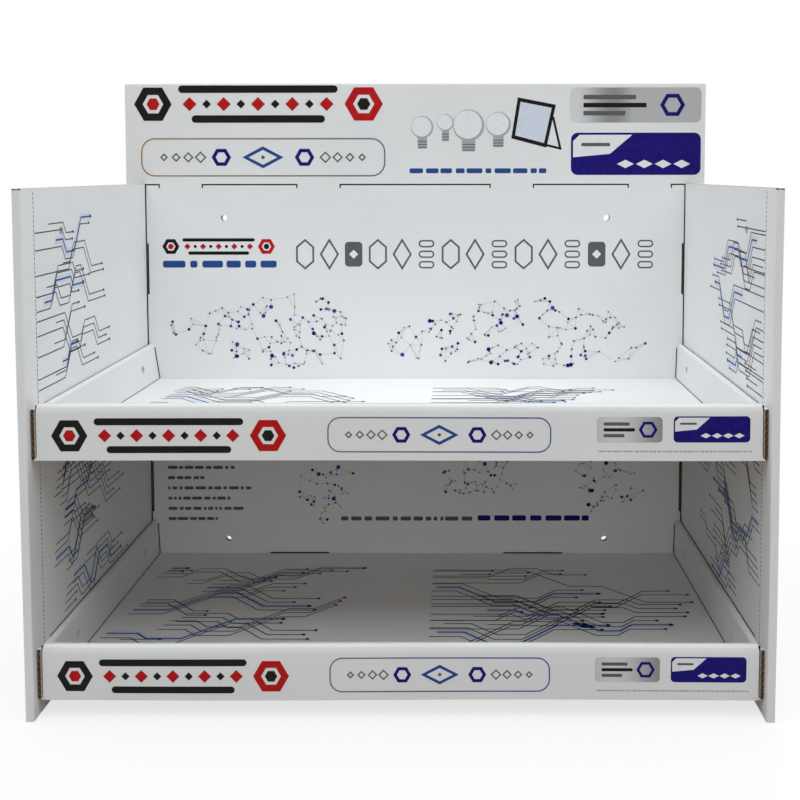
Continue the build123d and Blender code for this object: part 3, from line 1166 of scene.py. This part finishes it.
def navy_badge(sheet: PrintSheet, u0: float, v0: float, u1: float, v1: float) -> None:
    """A navy plate with a pale field cut off by a straight slope, and a row of white lozenges."""
    width, height = u1 - u0, v1 - v0
    sheet.box(u0, v0, u1, v1, height * 0.16, Tone.NAVY)
    inset = height * 0.05
    field = np.array([
        (u0 + inset, v0 + height * 0.42),
        (u0 + width * 0.30, v0 + height * 0.50),
        (u0 + width * 0.47, v1 - inset),
        (u0 + height * 0.2, v1 - inset),
        (u0 + inset, v1 - height * 0.2),
    ])
    sheet.plate(field, Tone.WHITE, 1)
    sheet.box(u0 + width * 0.08, v0 + height * 0.68, u0 + width * 0.3, v0 + height * 0.76, 1.0, Tone.GREY, 2)
    for number in range(4):
        at = u0 + width * (0.42 + number * 0.145)
        lozenge = regular(0.0, 0.0, height * 0.1, 4) * (2.0, 1.0) + (at, v0 + height * 0.26)
        sheet.plate(lozenge, Tone.WHITE, 1)


def header_print() -> PrintSheet:
    """Print of the header: frieze, pill, lamp picture of plain shapes, and two badges."""
    sheet = PrintSheet("header_print", Face.FRONT, PANEL_FACE, "printed_board")
    frieze(sheet, -303.0, 492.0, 268.0, 40.0)
    pill_panel(sheet, -297.0, 434.0, -32.0, 475.5)
    lamp_picture(sheet)
    sheet.bars(-6.0, 437.5, 142.0, 5.2, Tone.BLUE, 21)
    silver_badge(sheet, 167.5, 492.0, 309.0, 529.5)
    navy_badge(sheet, 168.5, 435.5, 309.0, 481.0)
    return sheet


def lamp_picture(sheet: PrintSheet) -> None:
    """Four pale globes on short collars and a framed panel that leans."""
    globes = ((8.0, 487.0, 12.0), (33.0, 492.0, 9.0), (58.0, 489.0, 17.0), (90.0, 490.0, 13.5))
    for u, v, radius in globes:
        left, right = u - radius * 0.42, u + radius * 0.42
        sheet.box(left, v - radius - 11.0, right, v - radius * 0.6, 1.5, Tone.SOFT_GREY)
        sheet.disc(u, v, radius, Tone.SOFT_GREY, 1, 28)
        sheet.disc(u - radius * 0.06, v + radius * 0.05, radius * 0.9, Tone.WHITE, 2, 28)
        for step in (0.0, 3.0, 6.0):
            low = v - radius - 10.0 + step
            sheet.box(left, low, right, low + 1.0, 0.4, Tone.GREY, 1)
    outer = np.array([(104.0, 475.0), (142.0, 465.0), (152.0, 511.0), (111.0, 519.0)])
    centre = outer.mean(0)
    sheet.plate(outer, Tone.BLACK, 1)
    sheet.plate(centre + (outer - centre) * 0.82, Tone.PALE_BLUE, 2)
    sheet.line(np.array([(141.0, 468.0), (157.0, 464.0), (149.0, 498.0)]), 2.4, Tone.BLACK)


def lip_print(name: str, z: float) -> PrintSheet:
    """Print of one tray's lip.

    Args:
        name: the piece's name.
        z: height of the tray's underside.

    Returns:
        The print.
    """
    sheet = PrintSheet(name, Face.FRONT, LIP_FACE, "white_board")
    frieze(sheet, -276.0, z + 6.0, 186.0, 28.0)
    pill_panel(sheet, -57.0, z + 6.5, 120.5, z + 35.0)
    silver_badge(sheet, 156.6, z + 15.0, 208.6, z + 35.5)
    navy_badge(sheet, 217.4, z + 15.0, 278.2, z + 36.0)
    sheet.bars(158.0, z + 7.2, 280.0, 1.1, Tone.SOFT_GREY, 31)
    return sheet


def back_print() -> PrintSheet:
    """Print of the back panel: a heading, two bands of linked dots, and rows of bars."""
    sheet = PrintSheet("back_print", Face.FRONT, PANEL_FACE, "printed_board")
    frieze(sheet, -275.0, 349.0, 122.0, 18.0)
    sheet.bars(-275.0, 335.0, -151.0, 7.5, Tone.BLUE, 41)
    heading(sheet)
    rng = np.random.default_rng(77)
    linked_dots(sheet, rng, (-272.0, -50.0), (222.0, 308.0), 165)
    linked_dots(sheet, rng, (-34.0, 268.0), (218.0, 302.0), 205)
    linked_dots(sheet, rng, (-138.0, -66.0), (50.0, 128.0), 46)
    linked_dots(sheet, rng, (16.0, 124.0), (78.0, 130.0), 60)
    linked_dots(sheet, rng, (165.0, 252.0), (62.0, 126.0), 50)
    for row, end in enumerate((-200.0, -230.0, -178.0, -205.0, -190.0, -215.0)):
        sheet.bars(-274.0, 112.0 - row * 11.5, end, 3.4, Tone.GREY, 51 + row)
    sheet.bars(-83.0, 54.0, 62.0, 4.6, Tone.GREY, 61)
    sheet.bars(68.0, 54.0, 192.0, 6.0, Tone.NAVY, 62)
    return sheet


def heading(sheet: PrintSheet) -> None:
    """Thin outlines of hexagons, diamonds and stacked lozenges in a row, with a dark block near each end."""
    low, tall, thin = 334.0, 31.0, 2.0
    middle = low + tall / 2
    for number, at in enumerate(np.linspace(-120.0, 250.0, 15)):
        if number in (2, 12):
            sheet.box(at - 9.5, low + 2.0, at + 9.5, low + tall - 2.0, 4.0, Tone.GREY)
            sheet.plate(regular(at, middle, 5.0, 4), Tone.WHITE, 1)
        elif number % 3 == 2:
            for rise in (0.0, tall * 0.37, tall * 0.74):
                bottom = low + rise
                sheet.frame(at - 8.5, bottom, at + 8.5, bottom + tall * 0.26, 4.0, thin * 0.8, Tone.GREY)
        else:
            sides, turned, narrow = (4, 0.0, 0.6) if number % 3 else (6, math.pi / 6, 0.66)
            outline = regular(0.0, middle, tall * 0.5, sides, turned) * (narrow, 1.0) + (at, 0.0)
            sheet.line(outline, thin, Tone.GREY, 0, True)


def linked_dots(sheet: PrintSheet, rng: np.random.Generator, across: Span, up: Span, count: int) -> None:
    """Dots scattered in a wavy oval, each joined to its nearest neighbours by hairlines.

    A dot lies at the middle plus (cos a, sin a) times sqrt(r) times 1/2.2 of the oval's sizes, a and r
    random, and the reach swells by 0.14 sin(3a).

    Args:
        sheet: the print they join.
        rng: seeded random numbers.
        across: limits in x.
        up: limits in z.
        count: number of dots.
    """
    angle = rng.uniform(0, 2 * math.pi, count)
    reach = np.sqrt(rng.uniform(0.02, 1.0, count)) * (1.0 + 0.14 * np.sin(3 * angle + across[0]))
    u = (across[0] + across[1]) / 2 + np.cos(angle) * reach * (across[1] - across[0]) / 2.2
    v = (up[0] + up[1]) / 2 + np.sin(angle) * reach * (up[1] - up[0]) / 2.2
    dots = np.stack([u, v], 1)
    apart = np.linalg.norm(dots[:, None] - dots[None], axis=2) + np.eye(count) * 1e6
    nearest = np.argsort(apart, axis=1)[:, :3]
    pairs = {tuple(sorted((i, int(j)))) for i in range(count) for j in nearest[i]}
    for first, second in sorted(pairs):
        sheet.line(dots[[first, second]], 0.30, Tone.SOFT_GREY)
    sizes = rng.choice([0.8, 1.1, 1.6, 2.3], count, p=[0.42, 0.32, 0.2, 0.06])
    for (x, z), size in zip(dots, sizes):
        tone = Tone.BLUE if rng.random() < 0.5 else (Tone.GREY if size < 1.5 else Tone.NAVY)
        sheet.disc(x, z, size, tone, 1, 12)


@dataclass
class TracePrint:
    """Circuit-like tracks: runs along u, slopes between them, and a round pad at the far end of each."""

    name: str
    face: Face
    place: float
    start: Span              # limits of u where tracks begin
    stop: float              # furthest u
    up: Span                 # limits of v
    count: int
    seed: int
    slope: float = 1.7       # rise for each millimetre of u on a slope
    scale: float = 1.0

    def drawn(self) -> PrintSheet:
        """Draws the tracks: bundles of two to four that share one path, each stepped over from the last.

        Bundle starts are spread evenly over v with a little jitter. A path goes along u, slopes, and goes
        along u again; each further track of a bundle is that path moved by (2.4, 6) mm and ends elsewhere.

        Returns:
            The print.
        """
        rng = np.random.default_rng(self.seed)
        sheet = PrintSheet(self.name, self.face, self.place, "white_board")
        low, high = self.up
        way = 1.0 if self.stop > self.start[0] else -1.0
        for number, v in enumerate(np.linspace(low, high, max(2, round(self.count / 3)))):
            path = self._path(rng, way, float(v + rng.uniform(-4.0, 4.0)))
            for member in range(rng.integers(2, 5)):
                line = path + np.array([way * 2.4, 6.0]) * self.scale * member
                line[-1, 0] += way * rng.uniform(-4.0, 22.0) * self.scale
                if self.start[1] - self.start[0] < 80.0 and member % 2 == 0:
                    line[0, 0] = self.start[0]
                keep = (line[:, 1] > low - 8.0) & (line[:, 1] < high + 8.0)
                line = line if keep.all() else line[: int(np.argmin(keep))]
                self._track(sheet, line[line[:, 0] * way < self.stop * way], number % 3 == 1 and member == 1)
        return sheet

    def _path(self, rng: np.random.Generator, way: float, v: float) -> Array:
        """One bundle's path.

        Args:
            rng: seeded random numbers.
            way: plus or minus one, along u.
            v: where it starts.

        Returns:
            Its corners.
        """
        u = rng.uniform(*self.start)
        line = [(u, v)]
        heads = rng.choice([-1.0, 1.0])
        for _ in range(rng.integers(1, 4)):
            u += way * rng.uniform(8.0, 30.0) * self.scale
            line.append((u, v))
            rise = heads * rng.uniform(7.0, 30.0) * self.scale
            heads = -heads if rng.random() < 0.6 else heads
            u += way * abs(rise) / self.slope
            v += rise
            line.append((u, v))
        u += way * rng.uniform(8.0, 26.0) * self.scale
        line.append((u, v))
        return np.array(line)

    def _track(self, sheet: PrintSheet, line: Array, bold: bool) -> None:
        """One track with its pad; a bold one is blue on a pale band."""
        if len(line) < 2:
            return
        tone, width, layer, pad, end = (Tone.TRACK, 0.92, 1, 1.4, Tone.TRACK)
        if bold:
            tone, width, layer, pad, end = (Tone.BLUE, 1.45, 2, 1.8, Tone.NAVY)
            sheet.line(line, 7.0 * self.scale, Tone.PALE_BLUE)
        sheet.line(line, width * self.scale, tone, layer)
        sheet.disc(line[-1, 0], line[-1, 1], pad * self.scale, end, 3, 12)


def trace_prints() -> list[TracePrint]:
    """Tracks on both inner sides, in both bays, and on both floors."""
    made = []
    start = FOLD + 1.0
    sides = (("left", Face.LEFT, -SIDE_FACE, 201), ("right", Face.RIGHT, SIDE_FACE, 301))
    for side, face, place, seed in sides:
        upper, lower = side + "_upper_tracks", side + "_lower_tracks"
        made.append(TracePrint(upper, face, place, (start, -70.0), 62.0, (258.0, 392.0), 26, seed))
        made.append(TracePrint(lower, face, place, (start, -40.0), 96.0, (62.0, 204.0), 40, seed + 1))
    for (node, level), seed in zip(TRAYS.items(), (401, 431)):
        for side, begin, stop in (("left", (-282.0, -190.0), -45.0), ("right", (20.0, 90.0), 282.0)):
            name, floor, up = f"{node}_{side}_tracks", level + BOARD, (-62.0, 92.0)
            number = seed + len(side)
            made.append(TracePrint(name, Face.FLOOR, floor, begin, stop, up, 34, number, 0.9, 1.35))
    return made


def prints() -> list[PrintSheet]:
    """Every print of the stand."""
    lips = [lip_print(node + "_lip_print", level) for node, level in TRAYS.items()]
    return [header_print(), back_print(), *lips, *(tracks.drawn() for tracks in trace_prints())]


# ---- setting

@dataclass
class Setting:
    """Floor, lamps, background and camera."""

    eye: tuple[float, float, float] = (0.0472, -0.8657, 0.4390)
    pitch: float = 3.225       # degrees below level
    yaw: float = 0.166
    roll: float = -0.042
    lens: float = 41.71
    shift: tuple[float, float] = (-0.07, -0.22)
    floor_radius: float = 9.0
    floor_drop: float = 0.0004      # the floor lies a hair under the stand
    floor_sides: int = 96

    def build(self) -> None:
        """Makes the whole setting."""
        self._camera()
        self._background()
        self._floor()
        aim = (0.0, 0.0, 0.25)
        self._lamp("ceiling", (0.0, -0.85, 3.2), (0.0, -0.45, 0.0), (8.5, 3.2), 143.0, (0.985, 0.995, 1.0))
        self._lamp("back_fill", (0.6, 3.0, 1.7), aim, (2.4, 1.6), 26.0, (1.0, 0.995, 0.99))
        self._lamp("front_fill", (0.0, -3.2, 1.3), aim, (2.4, 1.6), 6.0, (1.0, 0.99, 0.975))

    def _camera(self) -> None:
        """Camera at the viewing place."""
        data = bpy.data.cameras.new("camera")
        data.lens = self.lens
        data.sensor_width = 36.0
        data.shift_x, data.shift_y = self.shift
        data.clip_start = 0.02
        camera = bpy.data.objects.new("camera", data)
        camera.location = self.eye
        turn = Euler((math.radians(90.0 - self.pitch), 0.0, math.radians(self.yaw)), "XYZ").to_matrix()
        roll = Euler((0.0, 0.0, math.radians(self.roll)), "XYZ").to_matrix()
        camera.rotation_euler = (turn @ roll).to_euler("XYZ")
        bpy.context.scene.collection.objects.link(camera)
        bpy.context.scene.camera = camera

    def _background(self) -> None:
        """White where it is seen, soft grey where it lights."""
        shop = Shop("background", "worlds")
        bpy.context.scene.world = shop.owner
        seen = shop.seen()
        lighting = shop.node("ShaderNodeBackground", {}, {0: (0.93, 0.97, 1.0, 1.0), 1: 0.47})
        white = shop.node("ShaderNodeBackground", {}, {0: (1.0, 1.0, 1.0, 1.0)})
        mixed = shop.node("ShaderNodeMixShader", {}, {0: seen, 1: lighting, 2: white})
        shop.node("ShaderNodeOutputWorld", {}, {0: mixed})

    def _floor(self) -> None:
        """A pale round floor, a disc of many sides, seen as part painted white glow that pales the stand's
        shadow, all glow away from it.
        """
        turn = np.linspace(0, 2 * math.pi, self.floor_sides, endpoint=False)
        radius = self.floor_radius
        rim = coordinates(radius * np.cos(turn), radius * np.sin(turn), -self.floor_drop)
        mesh = bpy.data.meshes.new("floor")
        mesh.from_pydata(rim.tolist(), [], [list(range(self.floor_sides))])
        floor = bpy.data.objects.new("floor", mesh)
        bpy.context.scene.collection.objects.link(floor)
        shop = Shop("floor_paper_and_painted_glow")
        x, y, _ = shop.place()
        away = ((x * x + y * y) ** 0.5).ramp(0.35, 1.1)
        seen = shop.seen()
        bounced = shop.blend(shop.noise(400.0), (0.30, 0.27, 0.24), (0.34, 0.31, 0.28))
        paper = shop.node("ShaderNodeBsdfDiffuse", {}, {"Color": (0.92, 0.92, 0.92, 1.0)})
        shaded = shop.node("ShaderNodeBsdfDiffuse", {}, {"Color": bounced})
        glow = shop.node("ShaderNodeEmission", {}, {"Color": (1.0, 1.0, 1.0, 1.0), "Strength": 1.0})
        # Painted light: where seen, the floor is 72 per cent white glow near the stand, paling its shadow,
        # and all glow from 1.1 m out.
        shown = shop.node("ShaderNodeMixShader", {}, {0: 0.72 + away * 0.28, 1: paper, 2: glow})
        whole = shop.node("ShaderNodeMixShader", {}, {0: seen, 1: shaded, 2: shown})
        shop.node("ShaderNodeOutputMaterial", {}, {"Surface": whole})
        mesh.materials.append(shop.owner)

    def _lamp(
        self, name: str, place: Sequence[float], aim: Sequence[float], size: tuple[float, float],
        power: float, colour: Colour,
    ) -> None:
        """A soft rectangular lamp aimed at a point."""
        data = bpy.data.lights.new(name, "AREA")
        data.shape = "RECTANGLE"
        data.size, data.size_y = size
        data.energy = power
        data.color = colour
        lamp = bpy.data.objects.new(name, data)
        lamp.location = place
        lamp.rotation_euler = Vector(np.subtract(aim, place)).to_track_quat("-Z", "Y").to_euler()
        bpy.context.scene.collection.objects.link(lamp)


# ---- whole stand

def tray_sheet(node: str) -> BoardSheet:
    """One tray's sheet, with more cuts where its lip rolls over.

    Args:
        node: the tray's node.

    Returns:
        The sheet.
    """
    level = TRAYS[node]
    cuts = tuple((2, level + rise) for rise in (38.0, 39.3, 40.5, 41.6, 42.5))
    return BoardSheet(node, "white_board", tray_skins(level), settle_tray(level, *LEANS[node]), 0, cuts)


def board_sheets() -> list[BoardSheet]:
    """The four folded sheets."""
    return [
        BoardSheet("body_wrap", "white_board", wrap_skins, settle_wrap, 1),
        BoardSheet("header_panel", "printed_board", panel_skins, settle_panel, 2),
        *(tray_sheet(node) for node in TRAYS),
    ]


def main() -> None:
    """Builds the setting, the board, its edges and its print."""
    logging.basicConfig(level=logging.INFO, format="%(message)s")
    bpy.context.scene.view_settings.view_transform = "Standard"
    Setting().build()
    raw = KraftPaper("kraft_edge").material()
    reverse = KraftPaper("kraft_reverse", (0.36, 0.24, 0.14), (0.27, 0.17, 0.10)).material()
    # Painted shade: near-black paper for the unlit cores of cut edges, the perforations and narrow joints.
    hollow = KraftPaper("hollow_painted_shade", (0.030, 0.018, 0.011), (0.010, 0.006, 0.004)).material()
    liners = [CoatedLiner("coated_liner_" + letter, flute_axis=axis) for axis, letter in enumerate("xyz")]
    coats = [liner.material() for liner in liners]
    for sheet in board_sheets():
        sheet.build((coats[sheet.flute_axis], raw, reverse, hollow))
    for group in raw_edges():
        group.build(coats[1], raw)
    PerforatedFold().build(hollow)
    DeepGaps().build(hollow)
    inks = make_inks()
    for sheet in prints():
        sheet.build(inks)


if __name__ == "__main__":
    main()
